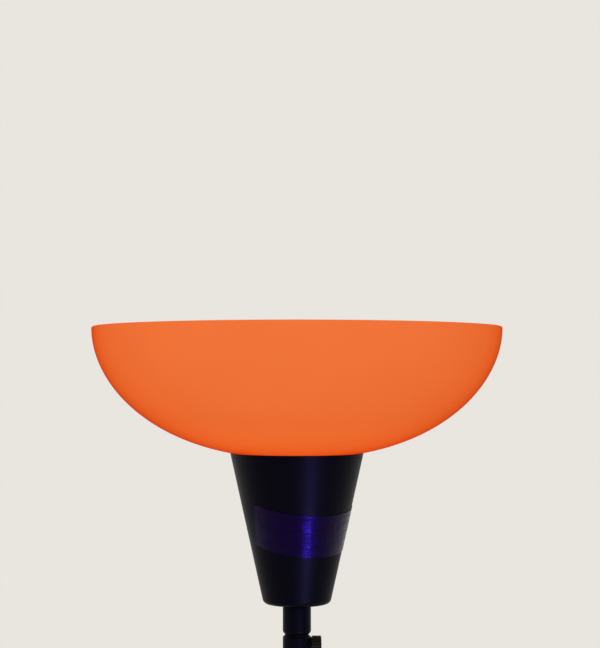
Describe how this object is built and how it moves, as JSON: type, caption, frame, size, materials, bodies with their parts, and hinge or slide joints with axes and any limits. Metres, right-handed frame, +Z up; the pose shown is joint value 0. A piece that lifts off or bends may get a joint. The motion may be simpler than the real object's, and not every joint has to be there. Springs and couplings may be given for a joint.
{
  "type": "floor lamp",
  "caption": "Black uplighter floor lamp: glowing opal bowl on a tapered cone, rotary switch, flexible reading arm with a bell shade, slim pole and weighted round base.",
  "frame": {"origin": "on the floor, at the pole's axis", "axes": "+Z up along the pole, front towards -Y, switch knob towards +X"},
  "size_m": [0.32, 0.32, 1.8002],
  "materials": {
    "black_lacquer": "satin black lacquer on steel",
    "black_plastic": "moulded phenolic, fine matt texture",
    "vinyl_tape": "dark grey vinyl tape, slight gloss",
    "opal_orange": "opal acrylic, soft gloss, glows orange when lit",
    "lamp_diffuser": "frosted diffuser, glows orange when lit",
    "lamp_housing": "white moulded plastic",
    "opal_white": "white opal acrylic, soft gloss",
    "frosted_glass": "white frosted glass",
    "zinc_steel": "zinc-plated steel",
    "nickel_cap": "nickel-plated lamp cap",
    "bright_aluminium": "plain aluminium plate",
    "brass": "plain brass sheet",
    "porcelain": "unglazed lampholder porcelain",
    "cast_iron": "rough sand-cast iron",
    "felt": "dense black felt",
    "rubber": "black rubber",
    "lead_sheath": "PVC sheath"
  },
  "bodies": {
    "lamp_stand": {"base_cover": "black_lacquer", "pole_collar": "black_lacquer", "pole_lower": "black_lacquer", "pole_middle": "black_lacquer", "pole_upper": "black_lacquer", "junction_body": "black_lacquer", "spacer_ring": "black_lacquer", "neck_tube": "black_lacquer", "cone_cover": "black_lacquer", "arm_ferrule": "black_lacquer", "switch_body": "black_plastic", "holder_cap": "black_plastic", "holder_skirt": "black_plastic", "shade_ring": "black_plastic", "tape_strip": "vinyl_tape", "bowl_shade": "opal_orange", "lamp_globe": "lamp_diffuser", "lamp_body": "lamp_housing", "base_washer": "zinc_steel", "base_nut": "zinc_steel", "base_stud": "zinc_steel", "pole_inserts": "zinc_steel", "joining_studs": "zinc_steel", "switch_nut": "zinc_steel", "top_stud": "zinc_steel", "cone_washer": "zinc_steel", "cone_nut": "zinc_steel", "ferrule_nut": "zinc_steel", "lamp_cap": "nickel_cap", "led_plate": "bright_aluminium", "screw_shell": "brass", "centre_contact": "brass", "holder_core": "porcelain", "base_weight": "cast_iron", "floor_felt": "felt", "lead_grommet": "rubber", "mains_lead": "lead_sheath", "lamp_lead": "lead_sheath"},
    "switch_knob_body": {"switch_shaft": "zinc_steel", "switch_knob": "black_plastic"},
    "head_knob_body": {"head_shaft": "zinc_steel", "head_knob": "black_plastic"},
    "neck_1": {"neck_link_1": "black_lacquer"},
    "neck_2": {"neck_link_2": "black_lacquer"},
    "neck_3": {"neck_link_3": "black_lacquer"},
    "neck_4": {"neck_link_4": "black_lacquer"},
    "neck_5": {"neck_link_5": "black_lacquer"},
    "neck_6": {"neck_link_6": "black_lacquer"},
    "neck_7": {"neck_link_7": "black_lacquer"},
    "neck_8": {"neck_link_8": "black_lacquer", "head_cup": "black_lacquer", "head_nut": "zinc_steel", "head_holder": "black_plastic", "head_shell": "brass", "head_shade": "opal_white", "head_ring": "black_plastic", "head_lamp_cap": "nickel_cap", "head_lamp_globe": "frosted_glass"}
  },
  "joints": [
    {"name": "switch_turn", "type": "hinge", "parent": "lamp_stand", "child": "switch_knob_body", "pos_m": [0, 0, 1.5503], "axis": [1, 0, 0], "continuous": true},
    {"name": "neck_raise_1", "type": "hinge", "parent": "lamp_stand", "child": "neck_1", "pos_m": [0.013, 0.02252, 1.52953], "axis": [0.866, -0.5, 0], "range_deg": [-1, 22]},
    {"name": "neck_swing_1", "type": "hinge", "parent": "neck_1", "child": "neck_2", "pos_m": [0.02822, 0.04887, 1.51964], "axis": [0.265, 0.4589, 0.848], "range_deg": [-11, 11]},
    {"name": "neck_raise_2", "type": "hinge", "parent": "neck_2", "child": "neck_3", "pos_m": [0.03933, 0.06812, 1.49662], "axis": [0.866, -0.5, 0], "range_deg": [-1, 22]},
    {"name": "neck_swing_2", "type": "hinge", "parent": "neck_3", "child": "neck_4", "pos_m": [0.04428, 0.07669, 1.46619], "axis": [0.4908, 0.8501, 0.1908], "range_deg": [-11, 11]},
    {"name": "neck_raise_3", "type": "hinge", "parent": "neck_4", "child": "neck_5", "pos_m": [0.04539, 0.07862, 1.43426], "axis": [0.866, -0.5, 0], "range_deg": [-1, 22]},
    {"name": "neck_swing_3", "type": "hinge", "parent": "neck_5", "child": "neck_6", "pos_m": [0.04595, 0.07959, 1.40228], "axis": [0.4993, 0.8648, 0.0523], "range_deg": [-11, 11]},
    {"name": "neck_raise_4", "type": "hinge", "parent": "neck_6", "child": "neck_7", "pos_m": [0.04707, 0.08152, 1.37036], "axis": [0.866, -0.5, 0], "range_deg": [-1, 22]},
    {"name": "neck_swing_4", "type": "hinge", "parent": "neck_7", "child": "neck_8", "pos_m": [0.04818, 0.08345, 1.33844], "axis": [0.4997, 0.8655, 0.0349], "range_deg": [-11, 11]},
    {"name": "head_switch_turn", "type": "hinge", "parent": "neck_8", "child": "head_knob_body", "pos_m": [0.05718, 0.09904, 1.28494], "axis": [0.5, 0.866, 0], "continuous": true}
  ],
  "couplings": [
    {"joint": "neck_raise_2", "follows": "neck_raise_1", "ratio": 1},
    {"joint": "neck_swing_2", "follows": "neck_swing_1", "ratio": 1},
    {"joint": "neck_raise_3", "follows": "neck_raise_1", "ratio": 1},
    {"joint": "neck_swing_3", "follows": "neck_swing_1", "ratio": 1},
    {"joint": "neck_raise_4", "follows": "neck_raise_1", "ratio": 1},
    {"joint": "neck_swing_4", "follows": "neck_swing_1", "ratio": 1}
  ]
}
